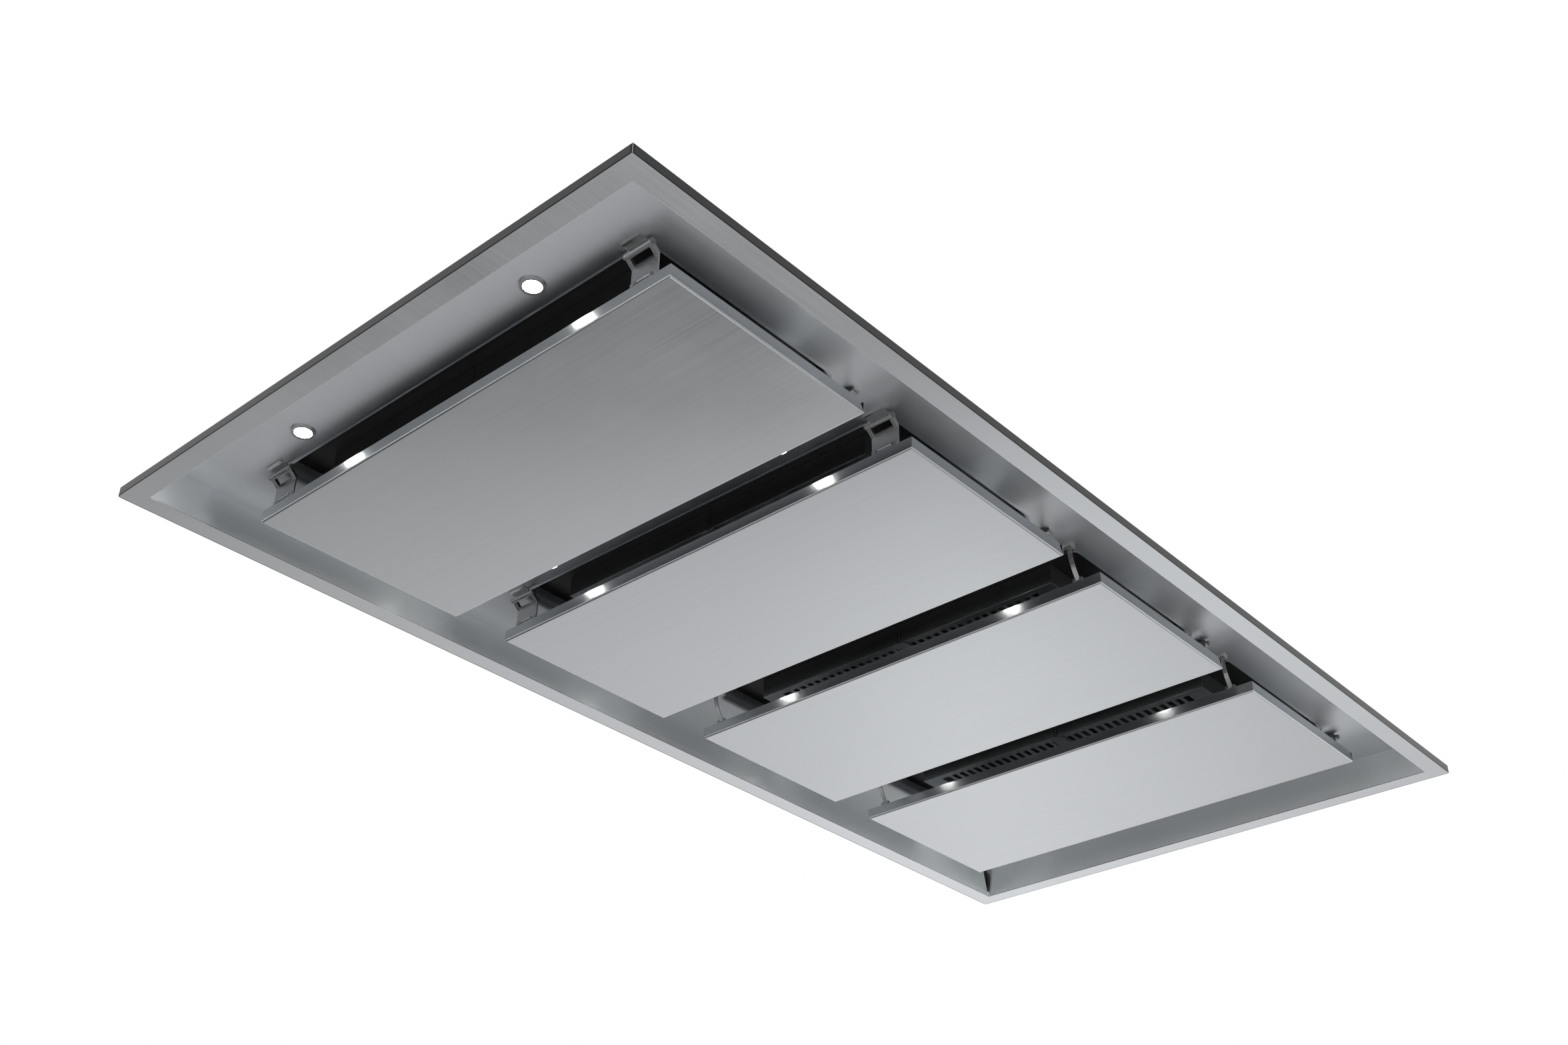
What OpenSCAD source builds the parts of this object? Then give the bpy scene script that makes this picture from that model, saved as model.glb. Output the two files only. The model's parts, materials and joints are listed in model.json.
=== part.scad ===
// Recessed ceiling range hood: a stainless flange and recess let into a ceiling, four hinged
// suction panels under eight grease filters, eight lamps, and a casing with one blower above.
// Origin: middle of the face that bears on the ceiling. X runs along the hood, Z points up.

/* [Flange and recess] */
// Length of the ceiling flange
flange_l = 1400; // [1380:10:1500]
// Width of the ceiling flange
flange_w = 700; // [690:10:760]
// Plan radius of the flange's corners
flange_r = 3; // [2:1:8]
// Width of the visible border round the recess
border_w = 22; // [20:1:26]
// Drop of the flange below the ceiling
flange_drop = 9; // [7:1:12]
// Thickness of the stainless sheet
sheet_t = 1; // [0.8:0.1:1.2]
// Width of the turned-in lip that bears on the ceiling
lip_w = 10; // [6:1:14]
// Height of the recess above the flange's face
recess_h = 42; // [40:1:50]
// Open seam between two recess walls at the foot of a corner
wall_seam = 1.5; // [0.5:0.25:2]
// Width of that seam at its top
wall_notch = 12; // [4:1:16]

/* [Suction panels] */
// Gap between two panels
panel_gap = 67.5; // [60:0.5:72]
// Distance from the recess's end walls to the first and last panel
panel_end_gap = 90.75; // [84:0.25:100]
// Distance from the recess's side walls to the panels
panel_side_gap = 50; // [44:1:56]
// Height of a panel's turned-up edges
panel_h = 12.8; // [10:0.2:15]
// How far the panels hang below the flange's face
panel_drop = 4.4; // [2:0.2:8]
// Outside radius of a panel's folded edges
panel_r = 2; // [1.5:0.5:3]
// Length of the slanted end of a panel's side edges
panel_slant = 12; // [6:1:20]

/* [Mouths in the recess] */
// Distance from a panel's left edge to its mouth's edge
mouth_left = 1; // [0.5:0.5:3]
// Distance from a panel's right edge to its mouth's edge
mouth_right = 15; // [12:1:20]
// Distance from a panel's end to its mouth's end
mouth_end = 30; // [24:1:34]
// Plan radius of a mouth's corners
mouth_r = 6; // [4:1:12]
// Radius of the bend round a mouth
mouth_bend = 9; // [6:1:10]
// Height of the collar round a mouth above the recess
collar_h = 17; // [15:1:22]

/* [Filters] */
// Gap between a filter and the mouth's long sides
filter_side_gap = 23; // [18:0.5:28]
// Gap between a filter and the mouth's end
filter_end_gap = 43; // [38:1:50]
// How far the filters hang below the recess
filter_drop = 7; // [4:1:9]
// Width of the filter frame's lips
filter_lip = 8; // [6:1:10]
// Width of the filter frame's lip at the latch
latch_lip = 24; // [24:1:28]
// Spacing of the filter's baffles
baffle_pitch = 11; // [9:0.5:14]
// Width of a lower baffle
baffle_w = 4.5; // [3:0.5:6]
// Travel of a filter latch
latch_travel = 8; // [7:0.5:9]
// Half gap between the two filters of a mouth
filter_split = 2; // [1.5:0.5:4]

/* [Hinges and catches] */
// Distance of a hinge's middle from the panel's end
hinge_inset = 31.5; // [26:0.5:40]
// Width of a hinge
hinge_w = 31; // [28:1:36]
// Height of a hinge leaf's plate above the panel's edge
plate_h = 23; // [16:1:24]
// Thickness of the hinge leaves
leaf_t = 1.5; // [1:0.25:2]
// Outside radius of a hinge knuckle
knuckle_r = 3; // [2.75:0.25:3.5]
// Radius of a hinge pin
pin_r = 1.5; // [1.25:0.25:1.75]
// Distance of the hinge pins below the recess
pivot_drop = 5; // [4.5:0.5:6]
// Distance of the hinge pins outside the panel's edge
pivot_out = 6.5; // [5:0.5:8]
// Distance of a catch's middle from the panel's end
catch_inset = 27.5; // [24:0.5:36]
// Width of a catch strap
strap_w = 5; // [4:0.5:8]
// Lean of a catch strap out of the panel
strap_lean = 11.5; // [9:0.5:14]
// Width of a catch's foot and pad
catch_w = 12; // [11:1:16]

/* [Lamps] */
// Radius of a lamp's lens
lens_r = 8.5; // [7:0.5:10]
// Radius of a lamp's bezel
bezel_r = 11.5; // [11:0.5:14]
// Thickness of a lamp's bezel
bezel_t = 2.5; // [1.5:0.5:3]
// Distance of the lamps from the next panel's left edge
lamp_out = 30; // [26:1:36]
// Distance of the lamps from the panel's ends
lamp_inset = 117; // [100:1:140]
// Shift of the lamps from the middle of the hood
lamp_shift = 18; // [0:1:20]
// Radius of a lamp's body above the sheet
lamp_body_r = 18; // [15:1:20]
// Height of a lamp's body above the sheet
lamp_body_h = 14; // [10:1:14]

/* [Casing] */
// Distance of the casing's walls inside the recess's outer walls
casing_inset = 14; // [12:1:17]
// Height of the casing's top above the ceiling's face
casing_h = 270; // [270:2:300]
// Thickness of the galvanised sheet
casing_t = 1; // [0.8:0.1:1.2]
// Width of the casing's turned-in flanges
casing_lip = 15; // [14:1:18]
// Distance of the hanging holes from the casing's walls
hang_inset = 65; // [55:5:85]
// Radius of the hanging holes
hang_hole_r = 4.5; // [4:0.25:6]
// Height of the hanging brackets
hang_h = 30; // [24:1:40]

/* [Blower and outlet] */
// Radius of the impeller
impeller_r = 78; // [74:1:79]
// Width of the impeller
impeller_w = 96; // [90:1:100]
// Number of blades
blades = 30; // [24:1:36]
// Inside width of the scroll housing
scroll_w = 116; // [112:1:118]
// Wall thickness of the scroll housing
scroll_t = 2; // [1.5:0.5:3]
// Radius of the inlets in the scroll housing
inlet_r = 66; // [60:1:70]
// Height of the blower's axis above the ceiling's face
axis_z = 162; // [160:1:170]
// Radius of the motor
motor_r = 42; // [36:1:48]
// Radius of the motor shaft
shaft_r = 4; // [3:0.5:5]
// Outside radius of the outlet spigot
spigot_r = 74.5; // [72:0.5:76]
// Height of the outlet spigot
spigot_h = 60; // [50:1:80]
// Wall thickness of the outlet spigot
spigot_t = 2; // [1.5:0.25:3]

/* [Electrics] */
// Distance of the control box's middle from the casing's left wall
control_inset = 245; // [200:5:260]
// Length of the control box
control_l = 160; // [120:2:180]
// Width of the control box
control_w = 80; // [60:1:84]
// Height of the control box
control_h = 52; // [40:1:70]
// Gap between the control box and the lamp driver
driver_gap = 71; // [60:1:90]
// Length of the lamp driver
driver_l = 118; // [90:2:140]
// Radius of the cable gland's bore
gland_bore_r = 4; // [3:0.5:5]

/* [Hidden] */
$fn = 64;
// Overrun of every cut
cut = 1;
// Gap between pieces that lie against each other
gap = 0.3;
// Radial clearance of a pin or shaft in its bore
run_fit = 0.05;

bay_count = 4;
bays = [for (i = [0 : bay_count - 1]) i];
halves = [-1, 1];

// Heights of the faces that the pieces share
face_z = -flange_drop;
tray_z = face_z + recess_h;
deck_z = tray_z + collar_h;
panel_z = face_z - panel_drop;
panel_top = panel_z + panel_h;
filter_z = tray_z - filter_drop;
filter_top = deck_z - gap;
pivot_z = tray_z - pivot_drop;

recess_l = flange_l - 2 * border_w;
recess_w = flange_w - 2 * border_w;
casing_l = recess_l + 2 * (sheet_t - casing_inset);
casing_w = recess_w + 2 * (sheet_t - casing_inset);
hang_x = casing_l - 2 * hang_inset;
hang_y = casing_w - 2 * hang_inset;

panel_l = (recess_l - 2 * panel_end_gap - (bay_count - 1) * panel_gap) / bay_count;
panel_w = recess_w - 2 * panel_side_gap;
panel_pitch = panel_l + panel_gap;
lamp_span = panel_w - 2 * lamp_inset;

mouth_l = panel_l - mouth_left - mouth_right;
mouth_w = panel_w - 2 * mouth_end;
mouth_shift = (mouth_left - mouth_right) / 2;
hinge_y = panel_w / 2 - hinge_inset;
catch_y = panel_w / 2 - catch_inset;
filter_l = mouth_l - 2 * filter_side_gap;
filter_w = mouth_w / 2 - filter_split - filter_end_gap;

// Middle of bay i, and whether its hinges are on the panel's right
function bay_x(i) = (i - (bay_count - 1) / 2) * panel_pitch;
function hinged_right(i) = i >= bay_count / 2;

// Filter latch and its keeper
bolt_w = 30;
bolt_l = 24;
bolt_t = 2.5;
tab_w = 16;
tab_t = 3;
tab_drop = 3;
keeper_t = 1.5;
keeper_gap = 1;
keeper_lip = 4;
rail_t = 1.5;
rail_flange = 8;
bolt_z = filter_z + sheet_t + gap;
bolt_tip = filter_w + keeper_gap + keeper_t + keeper_lip;
tab_y = filter_w - latch_lip / 2;
deck_t = 1.2;

// Filter baffles
baffle_t = 0.8;
baffle_wall = 5;
baffle_rise = 9;
baffle_upper_w = 8;
baffle_bar = 6;
baffle_bar_h = 12;

// Hinges and catches
knuckle_end = 4;
leaf_foot = 3;
bead_r = 1.6;
bead_rise = 3;
lug_r = 2;
lug_l = 2.2;
bracket_w = hinge_w - 2 * (knuckle_end + gap);
bracket_l = 9;
head_r = 1.7;
head_t = 1.2;
screw_r = 1.1;
screw_l = 3;
strap_t = 1;
strap_steps = 10;
pad_l = 7;
pad_t = 1.5;
magnet_l = 9;
magnet_w = 14;
magnet_t = 2.2;
foot_rise = 2.4;
foot_low = 3;

// Casing fastenings
lid_screws_long = 5;
lid_screws_short = 2;
lid_head_r = 4;
lid_head_t = 2.2;
lid_screw_r = 1.9;
lid_screw_l = 8;
hang_plate = 44;
hang_t = 3;

// Blower
scroll_start = 72;
scroll_steps = 36;
scroll_gap = 8;
scroll_growth = 30;
scroll_base_r = impeller_r + scroll_gap;
scroll_end_r = scroll_base_r + scroll_growth;
outlet_z = casing_h - axis_z;
outlet_low = scroll_base_r * cos(scroll_start);
outlet_mid = (outlet_low + scroll_end_r) / 2;
blade_depth = 14;
blade_t = 1.2;
blade_angle = 35;
impeller_t = 2;
hub_r = 10;
hub_l = 16;
hub_back = 5;
motor_face = scroll_w / 2 + scroll_t;
motor_l = 48;
motor_rib_t = 1.5;
motor_ribs = 12;
shaft_tail = 4;
bracket_t = 2;
bracket_ring = 10;
bracket_hub_r = 30;
arm_w = 8;
collar_plate = 178;
collar_plate_t = 1.5;
flap_t = 1.5;
flap_gap = 1.2;
flap_rise = 16;
flap_split = 4.5;
stub_r = 2;
barrel_r = 3;
stop_t = 2;
stop_reach = 3.5;
stop_w = 24;

// Electrics, against the back wall of the casing
box_t = 2;
box_gap = 8;
box_y = casing_w / 2 - casing_t - box_gap - control_w / 2;
control_x = control_inset - casing_l / 2;
driver_x = control_x + control_l / 2 + driver_gap + driver_l / 2;
terminals = 5;
terminal_pitch = 12;
terminal_w = 24;
terminal_h = 18;
terminal_r = 2.5;
driver_w = 54;
driver_h = 30;
driver_tab = 12;
gland_r = 9;
gland_nut_r = 12;
gland_nut_t = 5;
gland_l = 14;
gland_z = deck_z + deck_t + control_h / 2;

// Rounded rectangle about the origin
module plan(l, w, r) {
    square([l - 2 * r, w], center = true);
    square([l, w - 2 * r], center = true);
    for (sx = halves, sy = halves)
        translate([sx * (l / 2 - r), sy * (w / 2 - r)])
            circle(r = r);
}

// Flat-bottomed outline with rounded top corners
module arch(w, low, high, r) {
    translate([-w / 2, low])
        square([w, high - r - low]);
    translate([r - w / 2, low])
        square([w - 2 * r, high - low]);
    for (s = halves)
        translate([s * (w / 2 - r), high - r])
            circle(r = r);
}

// Box with rounded top edges and mitred corners
module rounded_box(l, w, low, high, r) {
    intersection() {
        translate([0, w / 2, 0])
            rotate([90, 0, 0])
                linear_extrude(height = w)
                    arch(l, low, high, r);
        translate([-l / 2, 0, 0])
            rotate([90, 0, 90])
                linear_extrude(height = l)
                    arch(w, low, high, r);
    }
}

// Cylinder along Y, from y0 to y1
module rod_y(r, y0, y1) {
    translate([0, y1, 0])
        rotate([90, 0, 0])
            cylinder(r = r, h = y1 - y0);
}

// Box between two corners
module block(low, high) {
    translate(low)
        cube(high - low);
}

// Children at each of the eight lamps
module at_lamps() {
    for (i = bays, s = halves)
        translate([bay_x(i) - panel_l / 2 - lamp_out, lamp_shift + s * lamp_span / 2, 0])
            children();
}

// Frame of a panel's hinged edge: the edge at x = 0 and the panel towards +X
module at_hinge_edge(i) {
    translate([bay_x(i), 0, 0])
        mirror([hinged_right(i) ? 1 : 0, 0, 0])
            translate([-panel_l / 2, 0, 0])
                children();
}

// The same for the edge with the catches
module at_catch_edge(i) {
    translate([bay_x(i), 0, 0])
        mirror([hinged_right(i) ? 0 : 1, 0, 0])
            translate([-panel_l / 2, 0, 0])
                children();
}

// Children at both ends of an edge
module at_both_ends(place) {
    for (s = halves)
        translate([0, s * place, 0])
            children();
}

module flange() {
    color([0.68, 0.69, 0.71])
        difference() {
            translate([0, 0, face_z])
                linear_extrude(height = flange_drop)
                    plan(flange_l, flange_w, flange_r);
            translate([0, 0, face_z + sheet_t])
                linear_extrude(height = flange_drop - 2 * sheet_t)
                    plan(flange_l - 2 * sheet_t, flange_w - 2 * sheet_t, flange_r - sheet_t);
            translate([0, 0, face_z + 2 * sheet_t])
                linear_extrude(height = flange_drop)
                    square([flange_l - 2 * lip_w, flange_w - 2 * lip_w], center = true);
            translate([0, 0, face_z - cut])
                linear_extrude(height = flange_drop)
                    square([recess_l, recess_w], center = true);
        }
}

// Four straight walls of the recess, from the flange up to the tray
module recess_walls() {
    low = face_z + sheet_t;
    foot = recess_l / 2 - wall_seam;
    top = recess_l / 2 - wall_notch;
    color([0.67, 0.68, 0.7])
        for (s = halves) {
            mirror([0, s < 0 ? 1 : 0, 0])
                translate([0, recess_w / 2 + sheet_t, 0])
                    rotate([90, 0, 0])
                        linear_extrude(height = sheet_t)
                            polygon([[-foot, low], [foot, low], [top, tray_z], [-top, tray_z]]);
            mirror([s < 0 ? 1 : 0, 0, 0])
                block([recess_l / 2, -recess_w / 2 - sheet_t, low],
                    [recess_l / 2 + sheet_t, recess_w / 2 + sheet_t, tray_z]);
        }
}

// Section of the sheet that turns up round a mouth, with the mouth's clear edge at x = 0
module collar_section() {
    intersection() {
        difference() {
            translate([mouth_bend, tray_z + mouth_bend])
                circle(r = mouth_bend);
            translate([mouth_bend, tray_z + mouth_bend])
                circle(r = mouth_bend - sheet_t);
        }
        translate([0, tray_z])
            square([mouth_bend, mouth_bend]);
    }
    translate([0, tray_z + mouth_bend])
        square([sheet_t, collar_h - mouth_bend]);
    translate([mouth_bend, tray_z])
        square([sheet_t, sheet_t]);
}

module collar() {
    for (a = [0, 90, 180, 270]) {
        across = a % 180 == 0 ? mouth_l : mouth_w;
        along = a % 180 == 0 ? mouth_w : mouth_l;
        run = along - 2 * mouth_r;
        rotate([0, 0, a])
            translate([across / 2, run / 2, 0])
                rotate([90, 0, 0])
                    linear_extrude(height = run)
                        collar_section();
        rotate([0, 0, a])
            translate([across / 2 - mouth_r, along / 2 - mouth_r, 0])
                rotate_extrude(angle = 90)
                    translate([mouth_r, 0])
                        collar_section();
    }
}

module tray() {
    color([0.66, 0.67, 0.69]) {
        difference() {
            translate([0, 0, tray_z])
                linear_extrude(height = sheet_t)
                    square([recess_l + 2 * sheet_t, recess_w + 2 * sheet_t], center = true);
            for (i = bays)
                translate([bay_x(i) + mouth_shift, 0, tray_z - cut])
                    linear_extrude(height = sheet_t + 2 * cut)
                        plan(mouth_l + 2 * mouth_bend, mouth_w + 2 * mouth_bend,
                            mouth_r + mouth_bend);
            at_lamps()
                translate([0, 0, tray_z - cut])
                    cylinder(r = lens_r + sheet_t, h = sheet_t + 2 * cut);
        }
        for (i = bays)
            translate([bay_x(i) + mouth_shift, 0, 0])
                collar();
    }
}

module filter_deck() {
    color([0.08, 0.08, 0.09]) {
        difference() {
            translate([0, 0, deck_z])
                linear_extrude(height = deck_t)
                    square([casing_l - 2 * (casing_t + gap), casing_w - 2 * (casing_t + gap)],
                        center = true);
            for (i = bays, s = halves)
                translate([bay_x(i) + mouth_shift, s * (filter_split + filter_w / 2), deck_z - cut])
                    linear_extrude(height = deck_t + 2 * cut)
                        square([filter_l - 2 * filter_lip, filter_w - 2 * filter_lip], center = true);
        }
    }
}

// Middle rails and keepers that hold the filters under the deck
module filter_rails() {
    color([0.4, 0.41, 0.42]) {
        for (i = bays)
            translate([bay_x(i) + mouth_shift, 0, 0]) {
                block([-filter_l / 2, -rail_t / 2, filter_z - gap - rail_t],
                    [filter_l / 2, rail_t / 2, deck_z]);
                block([-filter_l / 2, -rail_flange, filter_z - gap - rail_t],
                    [filter_l / 2, rail_flange, filter_z - gap]);
                for (s = halves)
                    mirror([0, s < 0 ? 1 : 0, 0])
                        filter_keeper();
            }
    }
}

// Tab under the deck, with the slot that a filter's bolt enters
module filter_keeper() {
    y0 = filter_split + filter_w + keeper_gap;
    difference() {
        block([-bolt_w / 2 - keeper_lip, y0, filter_z],
            [bolt_w / 2 + keeper_lip, y0 + keeper_t, deck_z]);
        block([-bolt_w / 2 - gap, y0 - cut, bolt_z - gap],
            [bolt_w / 2 + gap, y0 + keeper_t + cut, bolt_z + bolt_t + gap]);
    }
}

module casing_shell() {
    floor_z = tray_z + sheet_t;
    color([0.62, 0.64, 0.65])
        difference() {
            translate([0, 0, floor_z])
                linear_extrude(height = casing_h - floor_z)
                    square([casing_l, casing_w], center = true);
            translate([0, 0, floor_z + casing_t])
                linear_extrude(height = casing_h - floor_z - 2 * casing_t)
                    square([casing_l - 2 * casing_t, casing_w - 2 * casing_t], center = true);
            translate([0, 0, floor_z - cut])
                linear_extrude(height = casing_h - floor_z + 2 * cut)
                    square([casing_l - 2 * casing_lip, casing_w - 2 * casing_lip], center = true);
            at_lid_screws()
                translate([0, 0, casing_h - casing_t - cut])
                    cylinder(r = lid_screw_r + run_fit, h = casing_t + 2 * cut);
            translate([control_x, 0, gland_z])
                rod_y(gland_r + run_fit, casing_w / 2 - casing_t - cut, casing_w / 2 + cut);
        }
}

// Children at each screw of the lid
module at_lid_screws() {
    long_step = (casing_l - casing_lip) / (lid_screws_long - 1);
    short_step = (casing_w - casing_lip) / (lid_screws_short + 1);
    for (s = halves, k = [0 : lid_screws_long - 1])
        translate([(k - (lid_screws_long - 1) / 2) * long_step, s * (casing_w - casing_lip) / 2, 0])
            children();
    for (s = halves, k = [1 : lid_screws_short])
        translate([s * (casing_l - casing_lip) / 2, k * short_step - (casing_w - casing_lip) / 2, 0])
            children();
}

module casing_lid() {
    color([0.6, 0.62, 0.63])
        difference() {
            translate([0, 0, casing_h])
                linear_extrude(height = casing_t)
                    square([casing_l, casing_w], center = true);
            block([outlet_low + scroll_t, -scroll_w / 2, casing_h - cut],
                [scroll_end_r - scroll_t, scroll_w / 2, casing_h + casing_t + cut]);
            at_lid_screws()
                translate([0, 0, casing_h - cut])
                    cylinder(r = lid_screw_r + run_fit, h = casing_t + 2 * cut);
            top_screw_holes();
        }
}

// Screws of the lid, of the hanging brackets and of the outlet
module casing_screws() {
    color([0.75, 0.75, 0.76]) {
        at_lid_screws() {
            translate([0, 0, casing_h + casing_t])
                cylinder(r = lid_head_r, h = lid_head_t);
            translate([0, 0, casing_h + casing_t - lid_screw_l])
                cylinder(r = lid_screw_r, h = lid_screw_l);
        }
        at_bracket_screws()
            top_screw(casing_h + casing_t + hang_t);
        at_collar_screws()
            top_screw(casing_h + casing_t + collar_plate_t);
    }
}

// Children at each screw of a hanging bracket's foot
module at_bracket_screws() {
    for (sx = halves, sy = halves, s = halves)
        translate([sx * (hang_x / 2 - hang_plate), sy * hang_y / 2 + s * hang_plate / 4, 0])
            children();
}

// Children at each screw of the outlet's plate
module at_collar_screws() {
    reach = collar_plate / 2 - 2 * lid_head_r;
    for (sx = halves, sy = halves)
        translate([outlet_mid + sx * reach, sy * reach, 0])
            children();
}

// Screw through the lid, with its head's underside at z
module top_screw(z) {
    translate([0, 0, z])
        cylinder(r = lid_head_r, h = lid_head_t);
    translate([0, 0, casing_h - casing_t])
        cylinder(r = lid_screw_r, h = z - casing_h + casing_t + cut);
}

// Clearance holes through the lid and what is screwed on it
module top_screw_holes() {
    translate([0, 0, casing_h - cut]) {
        at_bracket_screws()
            cylinder(r = lid_screw_r + run_fit, h = casing_t + hang_t + 2 * cut);
        at_collar_screws()
            cylinder(r = lid_screw_r + run_fit, h = casing_t + collar_plate_t + 2 * cut);
    }
}

// Z-shaped bracket on the lid, with its hanging hole above the origin
module hanging_bracket() {
    z0 = casing_h + casing_t;
    half = hang_plate / 2;
    difference() {
        union() {
            block([-half - hang_plate, -half, z0], [hang_t - half, half, z0 + hang_t]);
            block([-half, -half, z0], [hang_t - half, half, z0 + hang_h]);
            block([-half, -half, z0 + hang_h - hang_t], [half, half, z0 + hang_h]);
        }
        translate([0, 0, z0 + hang_h - hang_t - cut])
            cylinder(r = hang_hole_r, h = hang_t + 2 * cut);
    }
}

module suspension_brackets() {
    color([0.7, 0.71, 0.72])
        difference() {
            for (sx = halves, sy = halves)
                translate([sx * hang_x / 2, sy * hang_y / 2, 0])
                    mirror([sx < 0 ? 1 : 0, 0, 0])
                        hanging_bracket();
            top_screw_holes();
        }
}

module lamp_bodies() {
    color([0.35, 0.35, 0.36])
        at_lamps() {
            translate([0, 0, tray_z + sheet_t])
                cylinder(r = lamp_body_r, h = lamp_body_h);
            translate([0, 0, tray_z])
                cylinder(r = lens_r, h = sheet_t);
        }
}

module lamp_bezels() {
    color([0.8, 0.8, 0.82])
        at_lamps()
            difference() {
                translate([0, 0, tray_z - bezel_t])
                    cylinder(r = bezel_r, h = bezel_t);
                translate([0, 0, tray_z - bezel_t - cut])
                    cylinder(r = lens_r + run_fit, h = bezel_t + 2 * cut);
            }
}

module lamp_lenses() {
    color([1, 1, 0.97])
        at_lamps()
            translate([0, 0, tray_z - bezel_t + gap])
                cylinder(r = lens_r, h = bezel_t - gap);
}

// One suction panel: a shallow upturned tray whose side edges end in a slant on the right
module panel(i) {
    color([0.68, 0.69, 0.7])
        translate([bay_x(i), 0, 0])
            difference() {
                mirror([0, 0, 1])
                    rounded_box(panel_l, panel_w, -panel_top, -panel_z, panel_r);
                mirror([0, 0, 1])
                    rounded_box(panel_l - 2 * sheet_t, panel_w - 2 * sheet_t, -panel_top - cut,
                        -panel_z - sheet_t, panel_r - sheet_t);
                for (s = halves)
                    translate([panel_l / 2, s * panel_w / 2, 0])
                        mirror([0, s < 0 ? 1 : 0, 0])
                            translate([0, cut, 0])
                                rotate([90, 0, 0])
                                    linear_extrude(height = cut + 2 * sheet_t)
                                        panel_slant_cut();
            }
}

// Wedge removed from the right end of a side edge
module panel_slant_cut() {
    low = panel_z + panel_r;
    polygon([
        [-sheet_t, low],
        [-sheet_t, panel_top + cut],
        [-sheet_t - panel_slant, panel_top + cut],
        [-sheet_t - panel_slant / 2, panel_top - sheet_t]
    ]);
}

// Moving leaves of a panel's two hinges
module hinge_leaves(i) {
    color([0.78, 0.79, 0.8])
        at_hinge_edge(i)
            at_both_ends(hinge_y) {
                difference() {
                    block([sheet_t, -hinge_w / 2, panel_z + leaf_foot],
                        [sheet_t + leaf_t, hinge_w / 2, panel_top + plate_h]);
                    leaf_screw_places()
                        rotate([0, 90, 0])
                            cylinder(r = screw_r + run_fit, h = 2 * (sheet_t + leaf_t), center = true);
                }
                for (s = halves)
                    mirror([0, s < 0 ? 1 : 0, 0])
                        leaf_arm();
                translate([sheet_t, 0, panel_top + bead_rise])
                    rod_y(bead_r, -hinge_w / 4, hinge_w / 4);
                edge_lugs(hinge_w);
            }
}

// Arm of a leaf, from its plate out to the end knuckle, which turns on the pin
module leaf_arm() {
    top = panel_top + plate_h;
    inner = hinge_w / 2 - knuckle_end;
    difference() {
        union() {
            translate([-pivot_out, 0, pivot_z])
                rod_y(knuckle_r, inner, hinge_w / 2);
            translate([0, hinge_w / 2, 0])
                rotate([90, 0, 0])
                    linear_extrude(height = knuckle_end)
                        polygon([[sheet_t, top - knuckle_end], [sheet_t + leaf_t, top],
                            [-pivot_out, pivot_z + knuckle_r], [-pivot_out, pivot_z - knuckle_r]]);
        }
        translate([-pivot_out, 0, pivot_z])
            rod_y(pin_r + run_fit, inner - cut, hinge_w / 2 + cut);
    }
}

// Two round lugs on the panel's edge, at the ends of a foot of the given width
module edge_lugs(width) {
    for (s = halves)
        translate([sheet_t - lug_l / 2, s * (width / 2 - lug_r), panel_top + lug_r])
            rotate([0, 90, 0])
                cylinder(r = lug_r, h = lug_l);
}

// Places of the two screws of a leaf, between its bead and its lugs
module leaf_screw_places() {
    for (s = halves)
        translate([sheet_t, s * (hinge_w / 4 + head_r + gap / 2), panel_top + lug_r])
            children();
}

// Spring-steel catches on a panel's other edge
module catch_straps(i) {
    pad_top = tray_z - magnet_t - gap;
    tip = sheet_t - strap_lean;
    color([0.7, 0.71, 0.72])
        at_catch_edge(i)
            at_both_ends(catch_y) {
                block([sheet_t, -catch_w / 2, panel_z + foot_low],
                    [sheet_t + strap_t, catch_w / 2, panel_top + foot_rise]);
                edge_lugs(catch_w);
                translate([0, strap_w / 2, 0])
                    rotate([90, 0, 0])
                        linear_extrude(height = strap_w)
                            strap_section(pad_top);
                block([tip - pad_l, -catch_w / 2, pad_top - pad_t],
                    [tip + strap_t, catch_w / 2, pad_top]);
            }
}

// Side view of a strap, which leans out of the panel and turns upright under its pad
module strap_section(top) {
    low = panel_top + foot_rise - strap_t;
    rise = top - low;
    line = [for (k = [0 : strap_steps]) let (u = k / strap_steps)
        [sheet_t - strap_lean * sin(90 * u), low + rise * u]];
    back = [for (k = [strap_steps : -1 : 0]) line[k] + [strap_t, 0]];
    polygon(concat(line, back));
}

// Screws of one panel's hinge leaves, with their heads on the outside
module panel_screws(i) {
    color([0.25, 0.25, 0.26])
        at_hinge_edge(i)
            at_both_ends(hinge_y)
                leaf_screw_places()
                    rotate([0, 90, 0]) {
                        translate([0, 0, -head_t])
                            cylinder(r = head_r, h = head_t);
                        cylinder(r = screw_r, h = screw_l);
                    }
}

// Fixed leaves of the hinges: the middle knuckle, hung from a leaf on the tray
module hinge_brackets() {
    outer = -pivot_out - knuckle_r;
    color([0.6, 0.61, 0.62])
        for (i = bays)
            at_hinge_edge(i)
                at_both_ends(hinge_y)
                    difference() {
                        union() {
                            translate([-pivot_out, 0, pivot_z])
                                rod_y(knuckle_r, -bracket_w / 2, bracket_w / 2);
                            block([outer, -bracket_w / 2, pivot_z],
                                [outer + leaf_t, bracket_w / 2, tray_z]);
                            block([outer + leaf_t - bracket_l, -bracket_w / 2, tray_z - leaf_t],
                                [outer + leaf_t, bracket_w / 2, tray_z]);
                        }
                        translate([-pivot_out, 0, pivot_z])
                            rod_y(pin_r + run_fit, -bracket_w / 2 - cut, bracket_w / 2 + cut);
                    }
}

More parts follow.
